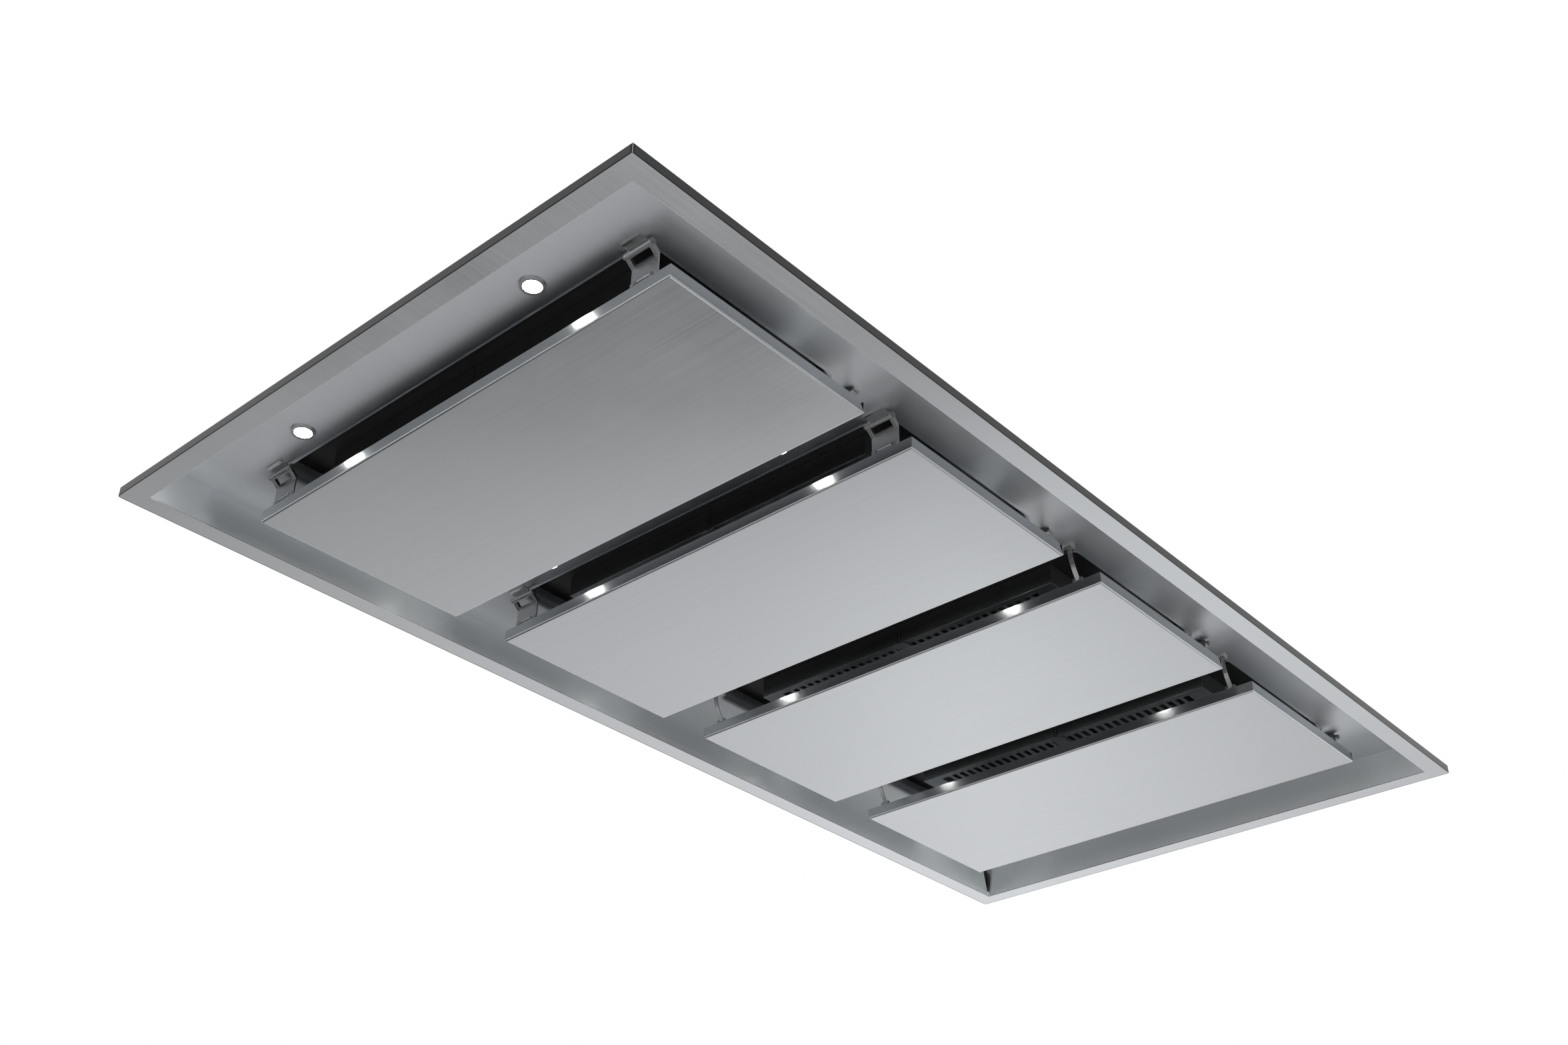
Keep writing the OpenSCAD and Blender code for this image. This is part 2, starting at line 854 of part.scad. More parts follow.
module hinge_pins() {
    color([0.55, 0.55, 0.56])
        for (i = bays)
            at_hinge_edge(i)
                at_both_ends(hinge_y)
                    translate([-pivot_out, 0, pivot_z]) {
                        rod_y(pin_r, -hinge_w / 2 - head_t, hinge_w / 2 + head_t);
                        for (s = halves)
                            translate([0, s * (hinge_w / 2 + gap + head_t / 2), 0])
                                rod_y(knuckle_r - gap, -head_t / 2, head_t / 2);
                    }
}

// Magnet plates on the tray, just above the catch pads
module catch_magnets() {
    tip = sheet_t - strap_lean;
    color([0.6, 0.6, 0.61])
        for (i = bays)
            at_catch_edge(i)
                at_both_ends(catch_y)
                    block([tip - magnet_l, -magnet_w / 2, tray_z - magnet_t],
                        [tip, magnet_w / 2, tray_z]);
}

// Frame of filter half k of bay i: its inner end at y = 0 and the filter towards +Y
module at_filter(i, s) {
    translate([bay_x(i) + mouth_shift, 0, 0])
        mirror([0, s < 0 ? 1 : 0, 0])
            translate([0, filter_split, 0])
                children();
}

// Frames of the two filters of bay i
module filter_frames(i) {
    inside_l = filter_l - 2 * filter_lip;
    slot_low = tab_y - tab_t / 2 - latch_travel - gap;
    slot_high = tab_y + tab_t / 2 + gap;
    color([0.5, 0.51, 0.53])
        for (s = halves)
            at_filter(i, s)
                difference() {
                    block([-filter_l / 2, 0, filter_z], [filter_l / 2, filter_w, filter_top]);
                    block([sheet_t - filter_l / 2, sheet_t, filter_z + sheet_t],
                        [filter_l / 2 - sheet_t, filter_w - sheet_t, filter_top - sheet_t]);
                    block([-inside_l / 2, filter_lip, filter_z - cut],
                        [inside_l / 2, filter_w - latch_lip, filter_z + sheet_t + cut]);
                    block([-inside_l / 2, filter_lip, filter_top - sheet_t - cut],
                        [inside_l / 2, filter_w - filter_lip, filter_top + cut]);
                    block([-bolt_w / 2 - gap, filter_w - sheet_t - cut, bolt_z - gap],
                        [bolt_w / 2 + gap, filter_w + cut, bolt_z + bolt_t + gap]);
                    block([-tab_w / 2 - gap, slot_low, filter_z - cut],
                        [tab_w / 2 + gap, slot_high, filter_z + sheet_t + cut]);
                }
}

// Cross section of a filter's staggered baffles, in Y and Z
module baffle_section() {
    first = filter_lip + baffle_pitch / 2;
    last = filter_w - latch_lip - baffle_pitch / 2;
    for (y = [first : baffle_pitch : last]) {
        translate([y - baffle_w / 2, 0])
            square([baffle_w, baffle_t]);
        for (s = halves)
            translate([y + s * (baffle_w - baffle_t) / 2 - baffle_t / 2, 0])
                square([baffle_t, baffle_wall]);
    }
    for (y = [first + baffle_pitch / 2 : baffle_pitch : last])
        translate([y - baffle_upper_w / 2, baffle_rise])
            square([baffle_upper_w, baffle_t]);
}

module filter_baffles(i) {
    z0 = filter_z + sheet_t + gap;
    reach = filter_l / 2 - sheet_t - gap;
    end_y = filter_w - latch_lip + filter_lip / 2;
    color([0.55, 0.56, 0.58])
        for (s = halves)
            at_filter(i, s) {
                translate([-reach, 0, z0])
                    rotate([90, 0, 90])
                        linear_extrude(height = 2 * reach)
                            baffle_section();
                for (e = halves)
                    translate([e * (reach - baffle_bar / 2), 0, 0])
                        block([-baffle_bar / 2, sheet_t + gap, z0],
                            [baffle_bar / 2, end_y, z0 + baffle_bar_h]);
            }
}

// Latch of filter n, counted from 1 along the hood
module filter_latch(n) {
    color([0.75, 0.76, 0.77])
        at_filter(floor((n - 1) / 2), n % 2 == 1 ? -1 : 1) {
            block([-bolt_w / 2, bolt_tip - bolt_l, bolt_z], [bolt_w / 2, bolt_tip, bolt_z + bolt_t]);
            block([-tab_w / 2, tab_y - tab_t / 2, filter_z - tab_drop],
                [tab_w / 2, tab_y + tab_t / 2, bolt_z + bolt_t]);
        }
}

// Radius of the scroll at a turn of a degrees from +X
function scroll_r(a) =
    scroll_base_r + scroll_growth * (a - scroll_start) / (360 - scroll_start);

// Outline of the scroll in X and Z about its axis, drawn in by a wall
function scroll_outline(wall) = concat(
    [for (k = [0 : scroll_steps])
        let (a = scroll_start + (360 - scroll_start) * k / scroll_steps)
            (scroll_r(a) - wall) * [cos(a), sin(a)]],
    [
        [scroll_end_r - wall, outlet_z],
        [outlet_low + wall, outlet_z],
        [outlet_low + wall, (scroll_base_r - wall) * sin(scroll_start)]
    ]
);

module blower_housing() {
    half = scroll_w / 2 + scroll_t;
    color([0.12, 0.12, 0.13])
        translate([0, 0, axis_z])
            difference() {
                translate([0, half, 0])
                    rotate([90, 0, 0])
                        linear_extrude(height = 2 * half)
                            polygon(scroll_outline(0));
                translate([0, scroll_w / 2, 0])
                    rotate([90, 0, 0])
                        linear_extrude(height = scroll_w)
                            polygon(scroll_outline(scroll_t));
                block([outlet_low + scroll_t, -scroll_w / 2, impeller_r],
                    [scroll_end_r - scroll_t, scroll_w / 2, outlet_z + cut]);
                rod_y(inlet_r, -half - cut, half + cut);
            }
}

module motor_bracket() {
    ring_r = inlet_r + bracket_ring;
    color([0.7, 0.7, 0.72])
        translate([0, -motor_face, axis_z])
            difference() {
                union() {
                    difference() {
                        rod_y(ring_r, -bracket_t, 0);
                        rod_y(inlet_r, -bracket_t - cut, cut);
                    }
                    rod_y(bracket_hub_r, -bracket_t, 0);
                    for (a = [90, 210, 330])
                        rotate([0, a, 0])
                            block([bracket_hub_r - arm_w, -bracket_t, -arm_w / 2],
                                [inlet_r + bracket_ring / 2, 0, arm_w / 2]);
                }
                rod_y(shaft_r + gap, -bracket_t - cut, cut);
            }
}

module motor() {
    color([0.3, 0.31, 0.33])
        translate([0, -motor_face, axis_z])
            difference() {
                union() {
                    rod_y(motor_r, 0, motor_l);
                    for (k = [0 : motor_ribs - 1])
                        rotate([0, 360 * k / motor_ribs, 0])
                            block([0, 3 * motor_rib_t, -motor_rib_t / 2],
                                [motor_r + motor_rib_t, motor_l - 3 * motor_rib_t, motor_rib_t / 2]);
                }
                rod_y(shaft_r + run_fit, -cut, motor_l + cut);
            }
}

module motor_shaft() {
    color([0.75, 0.75, 0.76])
        translate([0, 0, axis_z])
            rod_y(shaft_r, -motor_face - bracket_t - shaft_tail, hub_l);
}

module impeller() {
    color([0.55, 0.56, 0.58])
        translate([0, 0, axis_z])
            difference() {
                union() {
                    rod_y(impeller_r, -impeller_t / 2, impeller_t / 2);
                    rod_y(hub_r, -hub_back, hub_l - hub_back);
                    for (s = halves)
                        translate([0, s * (impeller_w - impeller_t) / 2, 0])
                            difference() {
                                rod_y(impeller_r, -impeller_t / 2, impeller_t / 2);
                                rod_y(impeller_r - blade_depth, -impeller_t, impeller_t);
                            }
                    for (k = [0 : blades - 1])
                        rotate([0, 360 * k / blades, 0])
                            translate([impeller_r - blade_depth / 2 - blade_t, 0, 0])
                                rotate([0, blade_angle, 0])
                                    cube([blade_depth - blade_t, impeller_w - impeller_t, blade_t],
                                        center = true);
                }
                rod_y(shaft_r + run_fit / 2, -impeller_w, impeller_w);
            }
}

// Pivot of each damper flap, on either side of the spigot's middle
function flap_x(s) = outlet_mid + s * flap_split;
flap_z = casing_h + casing_t + flap_rise;

module outlet_collar() {
    z0 = casing_h + casing_t;
    inner_r = spigot_r - spigot_t;
    stop_z = flap_z - flap_t / 2 - gap - stop_t;
    color([0.1, 0.1, 0.11]) {
        for (s = halves)
            intersection() {
                translate([outlet_mid, 0, stop_z])
                    difference() {
                        cylinder(r = inner_r + spigot_t / 2, h = stop_t);
                        translate([0, 0, -cut])
                            cylinder(r = inner_r - stop_reach, h = stop_t + 2 * cut);
                    }
                translate([outlet_mid + s * spigot_r, 0, stop_z])
                    cube([spigot_r, stop_w, 2 * stop_t], center = true);
            }
        difference() {
            translate([outlet_mid, 0, 0])
                difference() {
                    union() {
                        translate([0, 0, z0])
                            linear_extrude(height = collar_plate_t)
                                plan(collar_plate, collar_plate, mouth_r);
                        translate([0, 0, z0])
                            cylinder(r = spigot_r, h = spigot_h);
                    }
                    translate([0, 0, z0 - cut])
                        cylinder(r = inner_r, h = spigot_h + 2 * cut);
                }
            for (s = halves)
                translate([flap_x(s), 0, flap_z])
                    rod_y(stub_r + run_fit, -spigot_r - cut, spigot_r + cut);
            top_screw_holes();
        }
    }
}

// Half-round flap with its pivot stubs, on side s of the spigot
module damper_flap(s) {
    flap_r = spigot_r - spigot_t - flap_gap;
    stub_y = sqrt(pow(spigot_r, 2) - pow(flap_split, 2));
    barrel_y = sqrt(pow(flap_r, 2) - pow(flap_split + barrel_r, 2));
    color([0.16, 0.16, 0.17]) {
        intersection() {
            translate([outlet_mid, 0, flap_z - flap_t / 2])
                cylinder(r = flap_r, h = flap_t);
            translate([flap_x(s), 0, flap_z])
                mirror([s < 0 ? 1 : 0, 0, 0])
                    block([0, -spigot_r, -flap_t], [spigot_r, spigot_r, flap_t]);
        }
        translate([flap_x(s), 0, flap_z]) {
            rod_y(barrel_r, -barrel_y, barrel_y);
            rod_y(stub_r, -stub_y, stub_y);
        }
    }
}

module control_box() {
    color([0.85, 0.85, 0.83])
        translate([control_x, box_y, deck_z + deck_t])
            difference() {
                block([-control_l / 2, -control_w / 2, 0], [control_l / 2, control_w / 2, control_h]);
                block([box_t - control_l / 2, box_t - control_w / 2, box_t],
                    [control_l / 2 - box_t, control_w / 2 - box_t, control_h + cut]);
                translate([0, 0, control_h / 2])
                    rod_y(gland_r, control_w / 2 - box_t - cut, control_w / 2 + cut);
            }
}

module control_cover() {
    lip = box_t + gap;
    color([0.8, 0.8, 0.78])
        translate([control_x, box_y, deck_z + deck_t + control_h]) {
            block([-control_l / 2, -control_w / 2, 0], [control_l / 2, control_w / 2, box_t]);
            block([lip - control_l / 2, lip - control_w / 2, -2 * box_t],
                [control_l / 2 - lip, control_w / 2 - lip, 0]);
        }
}

// Terminal block on the control box's floor, with its screw wells open upwards
module terminal_block() {
    color([0.9, 0.9, 0.87])
        translate([control_x, box_y, deck_z + deck_t + box_t])
            difference() {
                block([-terminals * terminal_pitch / 2, -terminal_w / 2, 0],
                    [terminals * terminal_pitch / 2, terminal_w / 2, terminal_h]);
                for (k = [0 : terminals - 1])
                    translate([(k - (terminals - 1) / 2) * terminal_pitch, 0, 0]) {
                        translate([0, 0, terminal_h / 2])
                            cylinder(r = terminal_r, h = terminal_h / 2 + cut);
                        translate([0, 0, terminal_h / 3])
                            rod_y(terminal_r, -terminal_w, terminal_w);
                    }
            }
}

module lamp_driver() {
    color([0.9, 0.9, 0.88])
        translate([driver_x, box_y, deck_z + deck_t]) {
            block([-driver_l / 2, -driver_w / 2, 0], [driver_l / 2, driver_w / 2, driver_h]);
            block([-driver_l / 2 - driver_tab, -driver_w / 4, 0],
                [driver_l / 2 + driver_tab, driver_w / 4, box_t]);
        }
}

module cable_gland() {
    wall = casing_w / 2;
    color([0.15, 0.15, 0.16])
        translate([control_x, 0, gland_z])
            difference() {
                union() {
                    rod_y(gland_r, wall - casing_t - gland_nut_t, wall + gland_l);
                    rod_y(gland_nut_r, wall, wall + gland_nut_t);
                    rod_y(gland_nut_r, wall - casing_t - gland_nut_t, wall - casing_t);
                }
                rod_y(gland_bore_r, wall - casing_t - gland_nut_t - cut, wall + gland_l + cut);
            }
}

flange();
recess_walls();
tray();
filter_deck();
filter_rails();
casing_shell();
casing_lid();
casing_screws();
suspension_brackets();
lamp_bodies();
lamp_bezels();
lamp_lenses();
for (i = bays) {
    panel(i);
    hinge_leaves(i);
    catch_straps(i);
    panel_screws(i);
    filter_frames(i);
    filter_baffles(i);
}
for (n = [1 : 2 * bay_count])
    filter_latch(n);
hinge_brackets();
hinge_pins();
catch_magnets();
blower_housing();
motor();
motor_bracket();
motor_shaft();
impeller();
outlet_collar();
damper_flap(1);  // damper_flap_a
damper_flap(-1);  // damper_flap_b
control_box();
control_cover();
terminal_block();
lamp_driver();
cable_gland();
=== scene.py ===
"""Looks of a recessed ceiling range hood: stainless flange and recess, four hinged suction panels,
grease filters, lit lamps, and a galvanised casing with its blower and electrics above the ceiling."""

import json
import math

import bmesh
import bpy
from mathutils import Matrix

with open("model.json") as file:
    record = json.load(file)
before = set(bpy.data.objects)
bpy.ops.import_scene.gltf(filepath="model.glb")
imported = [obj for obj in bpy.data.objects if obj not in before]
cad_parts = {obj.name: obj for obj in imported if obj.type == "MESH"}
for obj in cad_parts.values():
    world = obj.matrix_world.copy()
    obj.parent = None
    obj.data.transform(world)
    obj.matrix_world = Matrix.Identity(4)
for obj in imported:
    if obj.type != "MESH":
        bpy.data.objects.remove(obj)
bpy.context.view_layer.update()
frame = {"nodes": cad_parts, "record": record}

# Camera, fitted to the photograph's edges; metres, degrees and millimetres
CAMERA_AT = (-1.32139, -1.06158, -0.93565)
CAMERA_TURN = (122.857, -0.6755, -48.5347)
CAMERA_LENS = 40.56
SENSOR_WIDTH = 36.0

# Stage, in metres: floor, card, ceiling patch, and the edge of the ceiling's cut-out
FLOOR_Z = -4.05
FLOOR_HALF = 30.0
CARD_Z = -4.0
CARD_HALF = 14.0
CEILING_MARGIN = 1.0
CUT_HALF_X = 0.6825
CUT_HALF_Y = 0.3325
CUT_EDGE_TOP = 0.036
# Near-black grey of the board's cut edge: painted shade in the open seams, over the real shade there
CUT_SHADE_GREY = 0.06
CUT_ROUGH = 0.9
CORNERS = ((-1, -1), (1, -1), (1, 1), (-1, 1))
# Strength of sky, floor and ceiling as a light; they are seen and mirrored at strength 1
DIFFUSE_SKY = 0.6
# The graduated card: its middle, and its brightness by distance from there, in metres
CARD_MIDDLE = (-1.32, -1.06)
CARD_NEAR = 3.0
CARD_FAR = 13.0
CARD_BY_DISTANCE = (
    (3.4, 0.95),
    (5.6, 0.18),
    (6.2, 0.24),
    (7.4, 0.8),
    (9.0, 1.0),
    (11.0, 0.98),
    (13.0, 0.8),
)
# Its brightness by direction from its middle, in degrees
CARD_BY_TURN = (
    (-150.0, 0.8),
    (-60.0, 0.12),
    (-40.0, 0.2),
    (-28.0, 1.0),
    (0.0, 0.9),
    (18.0, 0.58),
    (35.0, 1.0),
    (42.0, 0.8),
    (66.0, 0.45),
    (105.0, 0.12),
    (122.0, 0.2),
    (138.0, 0.62),
    (150.0, 0.8),
)
CARD_TURN_MAX = 180.0

# The flange: its half sizes, the depth of its folded outer side, and how much painted shade darkens
# that side
FLANGE_HALF_X = 0.7
FLANGE_HALF_Y = 0.35
RIM = 0.0012
RIM_PAINTED_SHADE = 0.04
# The tray above the flange: where it is at its dullest, and how many times duller it is there
TRAY_LEVEL = 0.03
TRAY_DULLER = 2.1

# Metals: rounding of edges in metres, and cells per metre along and across the grain
EDGE_ROUND = 0.0006
MOULDED_EDGE_ROUND = 0.001
GRAIN_TILT = 0.02
HAIR_CELLS = (7.0, 2200.0)
STREAK_CELLS = (1.5, 260.0)
SPANGLE_CELLS = (90.0, 90.0, 90.0)
ZINC_GRAIN = (500.0, 500.0, 500.0)
ZINC_GRAIN_DEPTH = 0.00002
LENS_CELLS = (650.0, 650.0, 650.0)
LAMP_STRENGTH = 40.0
STEEL_TINT = -0.03
# The axes that a grain runs along
ALONG_X = (0,)
ALONG_Y = (1,)
ALONG_Z = (2,)
LEVEL = (0, 1)


def add(tree, kind, settings=None, **values):
    """A new node with its settings and its input values."""
    made = tree.nodes.new(kind)
    for name, value in (settings or {}).items():
        setattr(made, name, value)
    for name, value in values.items():
        made.inputs[name].default_value = value
    return made


def join(tree, source, target):
    tree.links.new(source, target)


def only(tree, kind):
    """The tree's only node of this kind."""
    return next(node for node in tree.nodes if node.type == kind)


def blank(name):
    """A material that holds only its output and a Principled shader."""
    mat = bpy.data.materials.new(name)
    mat.use_nodes = True
    tree = mat.node_tree
    tree.nodes.clear()
    shader = tree.nodes.new("ShaderNodeBsdfPrincipled")
    out = tree.nodes.new("ShaderNodeOutputMaterial")
    join(tree, shader.outputs["BSDF"], out.inputs["Surface"])
    return mat, tree, shader


def grey(value, warm=0.0):
    return (value * (1 + warm), value, value * (1 - warm), 1.0)


def place(tree, scale):
    """Object coordinates, scaled on each axis."""
    where = add(tree, "ShaderNodeTexCoord")
    spread = add(tree, "ShaderNodeMapping", Scale=scale)
    join(tree, where.outputs["Object"], spread.inputs["Vector"])
    return spread.outputs["Vector"]


def coordinates(tree):
    """Object coordinates, each on its own."""
    where = add(tree, "ShaderNodeTexCoord")
    parts = add(tree, "ShaderNodeSeparateXYZ")
    join(tree, where.outputs["Object"], parts.inputs["Vector"])
    return parts.outputs


def noise(tree, scale, detail=3.0, rough=0.55):
    """Noise whose cells are 1 / scale metres long on each axis."""
    made = add(tree, "ShaderNodeTexNoise", Scale=1.0, Detail=detail, Roughness=rough)
    join(tree, place(tree, scale), made.inputs["Vector"])
    return made.outputs["Fac"]


def span(tree, value, low, high, from_low=0.3, from_high=0.7):
    """The value, moved from its own range to another."""
    made = add(tree, "ShaderNodeMapRange")
    made.inputs["From Min"].default_value = from_low
    made.inputs["From Max"].default_value = from_high
    made.inputs["To Min"].default_value = low
    made.inputs["To Max"].default_value = high
    join(tree, value, made.inputs["Value"])
    return made.outputs["Result"]


def multiply(tree, one, other):
    made = add(tree, "ShaderNodeMath", {"operation": "MULTIPLY"})
    join(tree, one, made.inputs[0])
    join(tree, other, made.inputs[1])
    return made.outputs["Value"]


def scaled(tree, factor):
    """A node that makes its colour lighter or darker by a varying factor."""
    made = add(tree, "ShaderNodeVectorMath", {"operation": "SCALE"})
    join(tree, factor, made.inputs["Scale"])
    return made


def shade(tree, colour, factor):
    """The colour, made lighter or darker by a varying factor."""
    made = scaled(tree, factor)
    made.inputs[0].default_value = colour[:3]
    return made.outputs["Vector"]


def relief(tree, shader, height, distance, edge=EDGE_ROUND):
    """Bump from a height, over edges that are slightly rounded."""
    round_edge = add(tree, "ShaderNodeBevel", {"samples": 4}, Radius=edge)
    bump = add(tree, "ShaderNodeBump", Strength=1.0, Distance=distance)
    join(tree, height, bump.inputs["Height"])
    join(tree, round_edge.outputs["Normal"], bump.inputs["Normal"])
    join(tree, bump.outputs["Normal"], shader.inputs["Normal"])


def axes(along, there, elsewhere):
    """One value for each axis: one for the axes of the grain, one for the others."""
    return [there if axis in along else elsewhere for axis in (0, 1, 2)]


def across_grain(tree, shader, along):
    """Stretches the reflections across the grain, on faces that stand any way."""
    turned = add(
        tree,
        "ShaderNodeVectorTransform",
        {"vector_type": "VECTOR", "convert_from": "OBJECT", "convert_to": "WORLD"},
        Vector=axes(along, 1.0, GRAIN_TILT),
    )
    side = add(tree, "ShaderNodeNewGeometry")
    cross = add(tree, "ShaderNodeVectorMath", {"operation": "CROSS_PRODUCT"})
    join(tree, side.outputs["True Normal"], cross.inputs[0])
    join(tree, turned.outputs["Vector"], cross.inputs[1])
    join(tree, cross.outputs["Vector"], shader.inputs["Tangent"])


def brushed(name, colour, rough, along, depth=0.000006, cloud=0.04, stretch=0.6):
    """Brushed metal: fine streaks along its grain, faint clouds, and smudges in its gloss."""
    mat, tree, shader = blank(name)
    shader.inputs["Metallic"].default_value = 1.0
    shader.inputs["Anisotropic"].default_value = stretch
    across_grain(tree, shader, along)
    hair = noise(tree, axes(along, *HAIR_CELLS), 2.0)
    streak = noise(tree, axes(along, *STREAK_CELLS), 2.0)
    clouds = noise(tree, (6.0, 6.0, 6.0), 3.0)
    tone = span(tree, hair, 0.98, 1.016)
    tone = multiply(tree, tone, span(tree, streak, 0.99, 1.01))
    tone = multiply(tree, tone, span(tree, clouds, 1 - cloud, 1 + cloud / 2))
    join(tree, shade(tree, colour, tone), shader.inputs["Base Color"])
    gloss = multiply(
        tree,
        span(tree, clouds, rough * 0.9, rough * 1.12),
        span(tree, hair, 0.9, 1.12),
    )
    join(tree, gloss, shader.inputs["Roughness"])
    relief(tree, shader, hair, depth)
    return mat


def flange_steel(name, colour, rough):
    """Brushed steel of flange and tray: painted shade on the flange's folded outer side, duller on the
    tray.
    """
    mat = brushed(name, colour, rough, ALONG_X, stretch=0.9)
    tree = mat.node_tree
    shader = only(tree, "BSDF_PRINCIPLED")
    where = coordinates(tree)
    sides = []
    for axis, half in (("X", FLANGE_HALF_X), ("Y", FLANGE_HALF_Y)):
        size = add(tree, "ShaderNodeMath", {"operation": "ABSOLUTE"})
        join(tree, where[axis], size.inputs[0])
        sides.append(span(tree, size.outputs["Value"], 0.0, 1.0, half - RIM, half - RIM / 2))
    outer = add(tree, "ShaderNodeMath", {"operation": "MAXIMUM"})
    join(tree, sides[0], outer.inputs[0])
    join(tree, sides[1], outer.inputs[1])
    # Painted shade: the base colour is darkened on the flange's folded outer side
    painted_rim_shade = span(tree, outer.outputs["Value"], 1.0, RIM_PAINTED_SHADE, 0.0, 1.0)
    darker = scaled(tree, painted_rim_shade)
    join(tree, shader.inputs["Base Color"].links[0].from_socket, darker.inputs[0])
    join(tree, darker.outputs["Vector"], shader.inputs["Base Color"])
    gloss = shader.inputs["Roughness"].links[0].from_socket
    duller = span(tree, where["Z"], 1.0, TRAY_DULLER, 0.0, TRAY_LEVEL)
    join(tree, multiply(tree, gloss, duller), shader.inputs["Roughness"])
    return mat


def galvanised(name, colour, rough):
    """Zinc-coated sheet with its spangle."""
    mat, tree, shader = blank(name)
    shader.inputs["Metallic"].default_value = 1.0
    spangle = add(tree, "ShaderNodeTexVoronoi", Scale=1.0, Randomness=1.0)
    join(tree, place(tree, SPANGLE_CELLS), spangle.inputs["Vector"])
    flake = add(tree, "ShaderNodeSeparateColor")
    join(tree, spangle.outputs["Color"], flake.inputs["Color"])
    clouds = noise(tree, (7.0, 7.0, 7.0), 4.0)
    tone = multiply(
        tree,
        span(tree, flake.outputs["Red"], 0.84, 1.1, 0.0, 1.0),
        span(tree, clouds, 0.9, 1.08),
    )
    join(tree, shade(tree, colour, tone), shader.inputs["Base Color"])
    gloss = span(tree, flake.outputs["Green"], rough * 0.8, rough * 1.3, 0.0, 1.0)
    join(tree, gloss, shader.inputs["Roughness"])
    relief(tree, shader, noise(tree, ZINC_GRAIN), ZINC_GRAIN_DEPTH)
    return mat


def metal(name, colour, rough, grain=700.0, depth=0.00003, metallic=1.0, spread=0.08):
    """Cast, turned or rolled metal with an even grain."""
    mat, tree, shader = blank(name)
    shader.inputs["Metallic"].default_value = metallic
    fine = noise(tree, (grain, grain, grain), 4.0)
    clouds = noise(tree, (22.0, 22.0, 22.0), 4.0)
    tone = multiply(
        tree,
        span(tree, fine, 1 - spread, 1 + spread),
        span(tree, clouds, 1 - spread, 1 + spread),
    )
    join(tree, shade(tree, colour, tone), shader.inputs["Base Color"])
    join(tree, span(tree, clouds, rough * 0.85, rough * 1.2), shader.inputs["Roughness"])
    relief(tree, shader, fine, depth)
    return mat


def moulded(name, colour, rough, grain=1500.0, depth=0.00004):
    """Moulded plastic or powder coat: fine texture, faint colour shifts and dust."""
    mat, tree, shader = blank(name)
    fine = noise(tree, (grain, grain, grain), 3.0)
    clouds = noise(tree, (12.0, 12.0, 12.0), 4.0)
    tone = multiply(tree, span(tree, fine, 0.9, 1.1), span(tree, clouds, 0.9, 1.12))
    join(tree, shade(tree, colour, tone), shader.inputs["Base Color"])
    join(tree, span(tree, clouds, rough * 0.85, rough * 1.15), shader.inputs["Roughness"])
    relief(tree, shader, fine, depth, MOULDED_EDGE_ROUND)
    return mat


def lit_lens(name, colour):
    """Frosted lens of a lit lamp, with the faint cells of its optic."""
    mat, tree, shader = blank(name)
    shader.inputs["Base Color"].default_value = colour
    cells = add(tree, "ShaderNodeTexVoronoi", Scale=1.0)
    join(tree, place(tree, LENS_CELLS), cells.inputs["Vector"])
    glow = span(tree, cells.outputs["Distance"], 1.0, 0.8, 0.0, 0.7)
    join(tree, shade(tree, colour, glow), shader.inputs["Emission Color"])
    shader.inputs["Emission Strength"].default_value = LAMP_STRENGTH
    join(tree, span(tree, cells.outputs["Distance"], 0.3, 0.5, 0.0, 0.7), shader.inputs["Roughness"])
    return mat


MATERIALS = {
    "stainless_tray": flange_steel("stainless_tray", grey(0.8, STEEL_TINT), 0.2),
    # The recess walls are the tray's steel with a lighter base grey: painted light that brightens them
    "stainless_wall": brushed("stainless_wall", grey(1.0, STEEL_TINT), 0.4, LEVEL, stretch=0.9),
    "stainless_panel": brushed("stainless_panel", grey(0.7, STEEL_TINT), 0.22, ALONG_Y, stretch=0.5),
    "hinge_steel": brushed("hinge_steel", grey(0.62, -0.01), 0.24, ALONG_Y, cloud=0.03),
    "spring_steel": brushed("spring_steel", grey(0.5, -0.01), 0.26, ALONG_Z, cloud=0.03),
    "screw_steel": metal("screw_steel", grey(0.4), 0.3, 1200.0),
    "black_deck": moulded("black_deck", grey(0.012), 0.5),
    "galvanised": galvanised("galvanised", grey(0.55, -0.02), 0.34),
    "bezel_chrome": metal("bezel_chrome", grey(0.66, -0.01), 0.3, 300.0, 0.000004, spread=0.02),
    "lamp_diffuser": lit_lens("lamp_diffuser", (1.0, 0.98, 0.95, 1.0)),
    "lamp_housing": metal("lamp_housing", grey(0.3), 0.45, 900.0, 0.00008),
    "magnet_nickel": metal("magnet_nickel", grey(0.62, 0.01), 0.25, 900.0, spread=0.03),
    "filter_aluminium": brushed("filter_aluminium", grey(0.6, -0.015), 0.32, ALONG_X),
    "latch_steel": brushed("latch_steel", grey(0.7, -0.01), 0.22, ALONG_X, cloud=0.03),
    "black_plastic": moulded("black_plastic", grey(0.025), 0.42),
    "motor_metal": metal("motor_metal", grey(0.09, -0.03), 0.5, 500.0, 0.0001, 0.3),
    "rotor_metal": metal("rotor_metal", grey(0.6, -0.015), 0.3, 400.0),
    "shaft_steel": brushed("shaft_steel", grey(0.7), 0.16, ALONG_X, cloud=0.02),
    "box_plastic": moulded("box_plastic", (0.62, 0.62, 0.59, 1.0), 0.4),
}


def dress_nodes():
    """Gives every CAD node the material of its slot in the record."""
    slots = {s["node"]: s["material_slot"] for s in frame["record"]["subparts"]}
    for name, node in frame["nodes"].items():
        if not node.material_slots:
            node.data.materials.append(None)
        for slot in node.material_slots:
            slot.material = MATERIALS[slots[name]]


def make_camera():
    data = bpy.data.cameras.new("camera")
    data.sensor_width = SENSOR_WIDTH
    data.lens = CAMERA_LENS
    camera = bpy.data.objects.new("camera", data)
    camera.location = CAMERA_AT
    camera.rotation_euler = [math.radians(a) for a in CAMERA_TURN]
    bpy.context.scene.collection.objects.link(camera)
    bpy.context.scene.camera = camera


